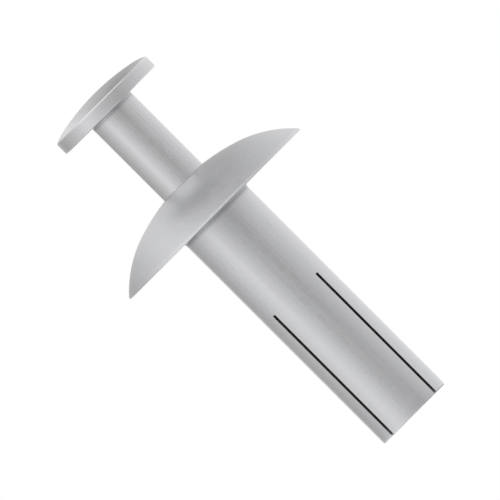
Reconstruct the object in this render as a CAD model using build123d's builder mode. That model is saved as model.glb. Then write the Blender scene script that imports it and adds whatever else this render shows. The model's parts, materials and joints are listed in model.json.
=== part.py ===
from build123d import *
import os
from math import asin, degrees, sqrt

# Drive rivet, as supplied: a one-piece aluminium body with a wide domed head, a blind bore and a
# shank that is sawn into four prongs, and the headed steel pin that stands out of the bore until it
# is hammered home.
#
# Millimetres. Both pieces are round about the Z axis, and +Z leaves through the heads. The origin is
# the centre of the body head's bearing face, the flat that seats on the work, so the shank runs down
# from z = 0.

# Body: shank
shank_dia = 6.35
shank_length = 21.0
shank_end_break = 0.08

# Body: head, a thin rim under a dome whose shallow crown runs into a rounder shoulder
head_dia = 17.9
head_rim = 0.15
head_dome_height = 3.35
head_crown_radius = 16.25
head_crown_dia = 10.0
head_rim_rounding = 0.08
head_rim_break = 0.03
under_head_radius = 0.15

# Body: four slits, left by two square cuts of a slitting saw across the shank's end
slit_width = 0.28
slit_depth = 12.6
saw_dia = 40.0
first_cut_angle = 45.0

# Pin: shank and nose
pin_dia = 3.97
pin_nose_length = 2.0
pin_tip_dia = 1.8
pin_tip_radius = 0.3
pin_stroke = 7.6

# Pin: head, of the same form as the body's on a thick edge
pin_head_dia = 9.33
pin_head_edge = 1.03
pin_dome_height = 0.74
pin_crown_radius = 17.8
pin_crown_dia = 7.3
pin_head_rounding = 0.12
pin_head_break = 0.06
under_pin_head_radius = 0.12

# Fits: the pin in its bore and, once it is home, its head over the bore's mouth and its tip over the
# bore's floor
pin_clearance = 0.035
bore_mouth_break = 0.1
seat_clearance = 0.04
tip_clearance = 0.1
prong_floor = 1.4

# Worked out from the sizes above
shank_end = -shank_length
head_apex = head_rim + head_dome_height
bore_dia = pin_dia + 2 * pin_clearance
bore_floor = shank_end + prong_floor
mouth_dia = bore_dia + 2 * bore_mouth_break
mouth_height = head_apex - head_crown_radius + sqrt(head_crown_radius**2 - (mouth_dia / 2) ** 2)
home_tip = bore_floor + tip_clearance
pin_tip = home_tip + pin_stroke
pin_head_seat = mouth_height + seat_clearance + pin_stroke
pin_edge_top = pin_head_seat + pin_head_edge
slit_root = shank_end + slit_depth
saw_rise = saw_dia / 2 - sqrt((saw_dia / 2) ** 2 - (shank_dia / 2) ** 2)


def dome(apex, crown_radius, crown_dia, edge):
    """A domed head's half-outline: the crown from the axis, then the shoulder down to the edge."""
    crown_angle = degrees(asin(crown_dia / 2 / crown_radius))
    crown = CenterArc((0, apex - crown_radius), crown_radius, 90, -crown_angle)
    shoulder = TangentArc(crown @ 1, edge, tangent=crown % 1)
    return crown, shoulder


def corner(outline, radius, height):
    """The corner of a half-outline that lies at this radius and height."""
    return outline.vertices().sort_by_distance((radius, height))[0]


# The body is cold headed from one slug, so head and shank are a single outline.
with BuildPart() as rivet_body:
    with BuildSketch(Plane.XZ) as body_outline:
        with BuildLine():
            crown, shoulder = dome(
                head_apex, head_crown_radius, head_crown_dia, (head_dia / 2, head_rim)
            )
            Polyline(
                shoulder @ 1,
                (head_dia / 2, 0),
                (shank_dia / 2, 0),
                (shank_dia / 2, shank_end),
                (0, shank_end),
                crown @ 0,
            )
        make_face()
        fillet(corner(body_outline, head_dia / 2, head_rim), head_rim_rounding)
        chamfer(corner(body_outline, head_dia / 2, 0), head_rim_break)
        fillet(corner(body_outline, shank_dia / 2, 0), under_head_radius)
        chamfer(corner(body_outline, shank_dia / 2, shank_end), shank_end_break)
    revolve(axis=Axis.Z)

    # The blind bore guides the pin, and its lower end narrows as the pin's nose does.
    with BuildSketch(Plane.XZ):
        with BuildLine():
            Polyline(
                (0, bore_floor),
                (pin_tip_dia / 2 + pin_clearance, bore_floor),
                (bore_dia / 2, bore_floor + pin_nose_length),
                (bore_dia / 2, mouth_height - bore_mouth_break),
                (mouth_dia / 2, mouth_height),
                (mouth_dia / 2, head_apex),
                (0, head_apex),
                close=True,
            )
        make_face()
    revolve(axis=Axis.Z, mode=Mode.SUBTRACT)

    # Each cut is the saw's own disc, plunged along the axis, so the slits' roots curve as its rim does.
    for turn in (first_cut_angle, first_cut_angle + 90):
        with BuildSketch(Plane.XZ.rotated((0, 0, turn))):
            with Locations((0, slit_root + saw_rise - saw_dia / 2)):
                Circle(saw_dia / 2)
        extrude(amount=slit_width / 2, both=True, mode=Mode.SUBTRACT)

# The pin is headed and pointed from wire. It is placed as supplied, a full stroke above its seat.
with BuildPart() as drive_pin:
    with BuildSketch(Plane.XZ) as pin_outline:
        with BuildLine():
            pin_crown, pin_shoulder = dome(
                pin_edge_top + pin_dome_height,
                pin_crown_radius,
                pin_crown_dia,
                (pin_head_dia / 2, pin_edge_top),
            )
            Polyline(
                pin_shoulder @ 1,
                (pin_head_dia / 2, pin_head_seat),
                (pin_dia / 2, pin_head_seat),
                (pin_dia / 2, pin_tip + pin_nose_length),
                (pin_tip_dia / 2, pin_tip),
                (0, pin_tip),
                pin_crown @ 0,
            )
        make_face()
        fillet(corner(pin_outline, pin_head_dia / 2, pin_edge_top), pin_head_rounding)
        chamfer(corner(pin_outline, pin_head_dia / 2, pin_head_seat), pin_head_break)
        fillet(corner(pin_outline, pin_dia / 2, pin_head_seat), under_pin_head_radius)
        fillet(corner(pin_outline, pin_tip_dia / 2, pin_tip), pin_tip_radius)
    revolve(axis=Axis.Z)

rivet_body.part.label = "rivet_body"
drive_pin.part.label = "drive_pin"

os.makedirs("parts", exist_ok=True)
export_step(rivet_body.part, "parts/rivet_body.step")
export_step(drive_pin.part, "parts/drive_pin.step")
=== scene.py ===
import json

import bpy
import numpy as np
from mathutils import Matrix, Vector


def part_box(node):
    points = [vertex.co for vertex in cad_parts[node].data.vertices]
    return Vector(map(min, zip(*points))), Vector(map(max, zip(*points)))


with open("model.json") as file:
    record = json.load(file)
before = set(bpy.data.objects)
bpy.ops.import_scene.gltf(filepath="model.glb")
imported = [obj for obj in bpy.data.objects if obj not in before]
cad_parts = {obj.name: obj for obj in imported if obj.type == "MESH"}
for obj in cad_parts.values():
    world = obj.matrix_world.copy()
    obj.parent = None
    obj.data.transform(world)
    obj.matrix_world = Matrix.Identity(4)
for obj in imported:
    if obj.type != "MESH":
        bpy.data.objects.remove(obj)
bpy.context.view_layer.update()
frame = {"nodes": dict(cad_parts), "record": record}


# Rivet body: one slug of aluminium wire, cold headed into a wide dome on a plain shank, bored blind,
# and sawn twice across its end into four prongs. Tumbling leaves it satin, with a faint dimpled skin
# and burnished edges. Sizes are in millimetres.
class Reading:
    """A value that varies over a surface. Sums written with readings add their Math nodes."""

    def __init__(self, tree, socket=None):
        self.tree, self.socket = tree, socket

    def node(self, kind, settings, inputs, output=0):
        """Adds one node: its settings first, then the values or readings of its sockets."""
        made = self.tree.nodes.new(kind)
        for name, setting in settings.items():
            setattr(made, name, setting)
        for name, held in inputs.items():
            if isinstance(held, Reading):
                self.tree.links.new(held.socket, made.inputs[name])
            else:
                made.inputs[name].default_value = held
        return Reading(self.tree, made.outputs[output])

    def math(self, operation, *terms):
        return self.node("ShaderNodeMath", {"operation": operation}, dict(enumerate(terms)))

    def __add__(self, other):
        return self.math("ADD", self, other)

    def __sub__(self, other):
        return self.math("SUBTRACT", self, other)

    def __rsub__(self, other):
        return self.math("SUBTRACT", other, self)

    def __mul__(self, other):
        return self.math("MULTIPLY", self, other)

    __radd__, __rmul__ = __add__, __mul__

    def size(self):
        return self.math("ABSOLUTE", self)

    def least(self, other):
        return self.math("MINIMUM", self, other)

    def most(self, other):
        return self.math("MAXIMUM", self, other)

    def across(self, other):
        """The length of the line whose two legs are this reading and the other."""
        return self.math("SQRT", self * self + other * other)

    def rise(self, start, end):
        """0 before start and 1 past end, with a smooth step between. It falls if end is first."""
        low, high, flip = (start, end, False) if start < end else (end, start, True)
        return self.node(
            "ShaderNodeMapRange",
            {"interpolation_type": "SMOOTHSTEP"},
            {"Value": self, "From Min": low, "From Max": high,
             "To Min": float(flip), "To Max": float(not flip)},
        )

    def grain(self, along, per_mm, detail):
        """Noise of about -1 to 1 over three readings or numbers, with its grains per millimetre."""
        place = self.node(
            "ShaderNodeCombineXYZ", {}, {i: a * s for i, (a, s) in enumerate(zip(along, per_mm))}
        )
        noise = self.node(
            "ShaderNodeTexNoise", {}, {"Vector": place, "Scale": 1.0, "Detail": detail}
        )
        return noise * 2.0 - 1.0


def bare_metal(name):
    """A new metal, its shader, and its Object coordinates in millimetres: x, y, z and radius."""
    made = bpy.data.materials.new(name)
    made.use_nodes = True
    shader = made.node_tree.nodes["Principled BSDF"]
    shader.inputs["Metallic"].default_value = 1.0
    place = Reading(made.node_tree).node("ShaderNodeTexCoord", {}, {}, "Object")
    x, y, z = (place.node("ShaderNodeSeparateXYZ", {}, {"Vector": place}, i) * 1000.0 for i in range(3))
    return made, shader, (x, y, z, x.across(y))


def finish_metal(shader, tint, shade, rough, relief, depth):
    """Joins a metal's maps to its shader: tint times shade, roughness, and relief times depth."""
    links = shade.tree.links
    colour = shade.node(
        "ShaderNodeVectorMath", {"operation": "SCALE"}, {"Vector": tint, "Scale": shade}
    )
    bump = shade.node("ShaderNodeBump", {}, {"Height": relief, "Distance": depth})
    links.new(colour.socket, shader.inputs["Base Color"])
    links.new(rough.socket, shader.inputs["Roughness"])
    links.new(bump.socket, shader.inputs["Normal"])


def millimetres(node):
    """The lowest and highest corners of a solid, in millimetres."""
    return (corner * 1000 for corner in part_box(node))


low, high = millimetres("rivet_body")
shank_end, bore_mouth, rim_radius = low.z, high.z, high.x
shank_radius = next(
    mount["dims"]["r_mm"] for mount in frame["record"]["mounts"] if mount["name"] == "shank"
)
rim_middle, mouth_radius = 0.08, 2.12
slit_half, slit_depth, saw_radius = 0.14, 12.6, 20.0
slit_root = shank_end + slit_depth
saw_centre = slit_root - (saw_radius**2 - shank_radius**2) ** 0.5

aluminium, aluminium_shader, (x, y, z, radius) = bare_metal("tumbled_aluminium")
# The shank keeps the wire's draw lines, its end the straight lines where the slug was sheared off,
# and the head the die's rings.
on_shank = z.rise(-0.05, -0.3) * radius.rise(shank_radius + 0.3, shank_radius + 0.1)
on_end = z.rise(shank_end + 0.09, shank_end + 0.03)
draw_lines = x.grain((x, y, z), per_mm=(5.0, 5.0, 0.05), detail=1.0) * on_shank * (1.0 - on_end)
shear_lines = x.grain((x, y, 0.0), per_mm=(0.3, 7.0, 0.0), detail=3.0) * on_end
die_rings = x.grain((radius, z, 0.0), per_mm=(3.0, 0.5, 0.0), detail=3.0) * (1.0 - on_shank)
dimples = x.grain((x, y, z), per_mm=(2.5, 2.5, 2.5), detail=3.0)
lines = draw_lines + shear_lines * 1.5 + die_rings * 0.8

# Both cuts lie on the diagonals. Inside them the saw's teeth leave arcs round the disc's centre.
diagonal = 0.5**0.5
from_first, from_second = (x - y).size() * diagonal, (x + y).size() * diagonal
from_slit = from_first.least(from_second)
below_root = z.rise(slit_root + 0.1, slit_root - 0.1)
in_slit = from_slit.rise(slit_half + 0.02, slit_half) * below_root
saw_arc = from_first.most(from_second).across(z - saw_centre)
saw_marks = x.grain((saw_arc, 0.0, 0.0), per_mm=(9.0, 0.0, 0.0), detail=3.0) * in_slit

slit_edge = from_slit.rise(slit_half + 0.2, slit_half + 0.02) * below_root * on_shank
rim_edge = (radius - rim_radius).across(z - rim_middle).rise(0.4, 0.08)
end_edge = (radius - shank_radius).across(z - shank_end).rise(0.35, 0.08)
burnish = rim_edge.most(end_edge).most(slit_edge)

# Painted shade, with some heading oil and dust, darkens the neck under the head and the bore's mouth.
neck_shade = (radius - shank_radius).across(z).rise(0.5, 0.12)
mouth_shade = (radius - mouth_radius).across(z - bore_mouth).rise(0.35, 0.1)
oil_and_painted_shade = neck_shade.most(mouth_shade)

# The shade also darkens the sawn slit walls: painted shade in the cuts, with some oil and oxide.
finish_metal(
    aluminium_shader,
    tint=(0.7, 0.704, 0.716),
    shade=1.0 + lines * 0.05 + dimples * 0.04 + burnish * 0.05 - oil_and_painted_shade * 0.35 - in_slit * 0.25,
    rough=(
        0.42 - on_shank * 0.12 + dimples * 0.06 + lines * 0.06 - burnish * 0.06 + in_slit * 0.1
    ),
    relief=lines * 1.6 + dimples * (2.8 - on_shank * 2.0) + saw_marks * 3.0,
    depth=0.000003,
)
frame["nodes"]["rivet_body"].material_slots[0].material = aluminium


# Drive pin: headed and pointed from stainless wire, harder and smoother than the body. It keeps the
# wire's fine draw lines, and the heading die leaves faint rings on its low dome. It stands out of
# the bore as supplied, and is hammered down until its head seats.
_, high = millimetres("drive_pin")
pin_radius, pin_head_radius = 1.985, high.x
seat_clearance, pin_head_edge = 0.04, 1.03
stroke = frame["record"]["behaviour"]["joints"][0]["range_m"][1] * 1000
pin_seat = bore_mouth + seat_clearance + stroke
pin_edge_top = pin_seat + pin_head_edge

stainless, stainless_shader, (x, y, z, radius) = bare_metal("drawn_stainless")
on_wire = z.rise(pin_seat, pin_seat - 0.2)
on_side = radius.rise(pin_head_radius - 0.05, pin_head_radius - 0.02) * (1.0 - on_wire)
on_dome = (1.0 - on_wire) * (1.0 - on_side)
wire_lines = x.grain((x, y, z), per_mm=(6.0, 6.0, 0.04), detail=1.0) * on_wire
side_lines = x.grain((x, y, z), per_mm=(0.3, 0.3, 5.0), detail=2.0) * on_side
die_rings = x.grain((radius, 0.0, 0.0), per_mm=(4.0, 0.0, 0.0), detail=2.0) * on_dome
bloom = x.grain((x, y, z), per_mm=(1.5, 1.5, 1.5), detail=3.0)
lines = wire_lines + side_lines * 0.6 + die_rings * 0.8

# Painted shade darkens the pin's neck under its head, where it meets the dome.
neck_shade = (radius - pin_radius).across(z - pin_seat).rise(0.45, 0.12)
from_side = radius - pin_head_radius
bright_edge = from_side.across(z - pin_seat).least(from_side.across(z - pin_edge_top)).rise(0.2, 0.04)
finish_metal(
    stainless_shader,
    tint=(0.7, 0.7, 0.714),
    shade=1.0 + lines * 0.05 + bloom * 0.03 + bright_edge * 0.06 - neck_shade * 0.3,
    rough=0.28 + bloom * 0.05 + lines * 0.05 - bright_edge * 0.06,
    relief=lines * 2.0 + bloom * 2.5,
    depth=0.0000025,
)
frame["nodes"]["drive_pin"].material_slots[0].material = stainless


# Floor and light tent: a pale matt floor under the sawn end, and round it a glowing tent of white
# cloth that only the metal mirrors. Two soft grey strips run up the cloth, one in front at the right
# and one behind at the left, so round metal shows dark and light bands along its axis.
def turned_cloth(name, profile, steps):
    """A surface turned about the Z axis: each profile point (r, z) becomes a ring of points
    (r cos t, r sin t, z), with t in equal steps of a full turn, and four-sided faces between."""
    turn = np.linspace(0, 2 * np.pi, steps, endpoint=False)
    r, height = np.array(profile, float).T
    points = np.stack([
        np.outer(r, np.cos(turn)), np.outer(r, np.sin(turn)), np.repeat(height[:, None], steps, 1)
    ], -1).reshape(-1, 3)
    row, column = np.mgrid[:len(r) - 1, :steps]
    after = (column + 1) % steps
    faces = np.stack([
        row * steps + column, (row + 1) * steps + column, (row + 1) * steps + after, row * steps + after
    ], -1).reshape(-1, 4)
    mesh = bpy.data.meshes.new(name)
    mesh.from_pydata(points.tolist(), [], faces.tolist())
    cloth = bpy.data.objects.new(name, mesh)
    bpy.context.scene.collection.objects.link(cloth)
    return cloth, points


def stage_surface(name):
    """A new material for the stage: the material, its first reading and its output socket."""
    made = bpy.data.materials.new(name)
    made.use_nodes = True
    return made, Reading(made.node_tree), made.node_tree.nodes["Material Output"].inputs["Surface"]


def seen(start):
    """1 on the rays that show a background: to the camera, or by way of gloss or glass alone."""
    camera_ray, gloss_ray, glass_ray, diffuse_bounces = (
        start.node("ShaderNodeLightPath", {}, {}, kind)
        for kind in ("Is Camera Ray", "Is Glossy Ray", "Is Transmission Ray", "Diffuse Depth")
    )
    return camera_ray.most(gloss_ray).most(glass_ray) * (1.0 - diffuse_bounces.least(1.0))


def unit(vectors):
    """Each row over its own length."""
    return vectors / np.maximum(np.linalg.norm(vectors, axis=1), 1e-6)[:, None]


# The floor is open under the shank and clear from below, so the sawn end can be looked at. Its
# lengths, and those of all that follows, are in metres.
floor_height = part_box("rivet_body")[0].z
foot_radius, floor_radius = (shank_radius - 0.1) / 1000, 3.0
floor_tone, white = 0.8, 1.0
floor, _ = turned_cloth(
    "floor", [(r, floor_height) for r in np.geomspace(foot_radius, floor_radius, 16)], 96
)
matt, start, surface = stage_surface("pale_floor")
plain = start.node("ShaderNodeBsdfDiffuse", {}, {"Color": (floor_tone,) * 3 + (1.0,)})
lift = start.node("ShaderNodeEmission", {}, {"Strength": seen(start) * (white - floor_tone)})
lifted = start.node("ShaderNodeAddShader", {}, {0: plain, 1: lift})
underneath = start.node("ShaderNodeNewGeometry", {}, {}, "Backfacing")
through = start.node("ShaderNodeBsdfTransparent", {}, {})
one_sided = start.node("ShaderNodeMixShader", {}, {0: underneath, 1: lifted, 2: through})
start.tree.links.new(one_sided.socket, surface)
floor.data.materials.append(matt)

# The tent is a cloth just over the floor, and a roof that bends up from its edge to a point overhead.
tent_radius, inner_radius, sheet_height = 0.3, 0.001, floor_height + 0.00005
lowest_rise, highest_rise = np.radians((3, 89.5))
sheet = [(r, sheet_height) for r in np.geomspace(inner_radius, tent_radius, 24)]
roof = [
    (tent_radius * np.cos(rise), sheet_height + tent_radius * np.sin(rise))
    for rise in np.linspace(lowest_rise, highest_rise, 40)
]
tent, points = turned_cloth("light_tent", sheet + roof, 144)

# A point of the tent shows in the metal that faces halfway between it and a viewer in front. That
# metal's slope is 0 on top of a dome and 1 on the side of a shank, and tells its place: at a share of
# the radius on the body's dome, at the full radius on a shank. The cloth low down shows in upright
# metal, so only its place in plan counts there. The strips' places run from -1 at the left edge of
# the metal to 1 at the right one.
middle, to_viewer = np.array((0.0, 0.0, -0.004)), np.array((0.0, -1.0, 0.0))
outwards = unit(points * (1, 1, 0))
facing = unit(unit(points - middle) + to_viewer)
upright_facing = unit(outwards + to_viewer)
slope = np.hypot(facing[:, 0], facing[:, 1])
overhead = facing[:, 2] > 0
crown_slope, rim_slope, crown_share = 0.308, 0.743, 0.56
share = np.interp(slope, (0, crown_slope, rim_slope), (0, crown_share, 1))
dome_place = facing[:, 0] / np.maximum(slope, 1e-6) * share
strip_places = (-1, -0.94, -0.43, -0.05, 0.26, 0.97, 1)
strip_tones = (0.66, 0.46, 0.95, 0.62, 0.47, 0.94, 0.66)
tone = np.interp(np.where(overhead, dome_place, upright_facing[:, 0]), strip_places, strip_tones)

# The strips are stronger overhead, where the duller dome blurs them. A bright panel above the viewer
# and plain white cloth low down behind light the dome under the pin's head.
middle_tone, panel_tone, extra = 0.7, 1.3, 0.35
dome_part = np.interp(slope, (rim_slope, rim_slope + 0.1), (1, 0)) * overhead
in_front = np.interp(outwards @ to_viewer, (0.3, 0.6), (0, 1))
panel = np.interp(slope, (0.8, 0.86, 0.965, 0.992), (0, 1, 1, 0)) * in_front * overhead
low_behind = np.interp(outwards[:, 1], (0.88, 0.95), (0, 1)) * ~overhead
tone += (
    (tone - middle_tone) * extra * dome_part
    + (panel_tone - tone) * panel
    + (white - tone) * low_behind
)

tent.data.attributes.new("tone", "FLOAT", "POINT").data.foreach_set("value", tone)
tent_cloth, start, surface = stage_surface("tent_cloth")
grey = start.node("ShaderNodeAttribute", {"attribute_name": "tone"}, {}, "Color")
glow = start.node("ShaderNodeEmission", {}, {"Color": grey})
start.tree.links.new(glow.socket, surface)
tent.data.materials.append(tent_cloth)
tent.visible_camera = tent.visible_diffuse = tent.visible_shadow = tent.visible_transmission = False

# The room gives the even part of the light, and a wide lamp the rest, with the shadow on the floor.
lamp_share = 0.45
world = bpy.data.worlds.new("studio")
world.use_nodes = True
bpy.context.scene.world = world
background = world.node_tree.nodes["Background"]
background.inputs["Color"].default_value = (1.0, 1.0, 1.0, 1.0)
room_light = seen(Reading(world.node_tree)) * lamp_share + (white - lamp_share)
world.node_tree.links.new(room_light.socket, background.inputs["Strength"])

lamp = bpy.data.lights.new("soft_lamp", "SUN")
lamp_aim = Vector((0.55, 0.75, -1.35)).normalized()
lamp.angle = 0.6
lamp.energy = lamp_share * np.pi / abs(lamp_aim.z)
soft_lamp = bpy.data.objects.new("soft_lamp", lamp)
soft_lamp.rotation_euler = lamp_aim.to_track_quat("-Z", "Y").to_euler()
soft_lamp.visible_glossy = False
bpy.context.scene.collection.objects.link(soft_lamp)


# Camera: square on to the axis and rolled half a right angle, so that the heads are at the upper left
# and the sawn end at the lower right. It shows every part of the rivet at the same scale.
view_width, camera_place = 0.037265, (-0.00004, -0.2, -0.003686)
lens = bpy.data.cameras.new("camera")
lens.type = "ORTHO"
lens.ortho_scale = view_width
right, up, back = Vector((1, 0, -1)).normalized(), Vector((1, 0, 1)).normalized(), Vector((0, -1, 0))
camera = bpy.data.objects.new("camera", lens)
camera.matrix_world = (
    Matrix.Translation(camera_place) @ Matrix((right, up, back)).transposed().to_4x4()
)
bpy.context.scene.collection.objects.link(camera)
bpy.context.scene.camera = camera
bpy.context.scene.view_settings.view_transform = "Standard"
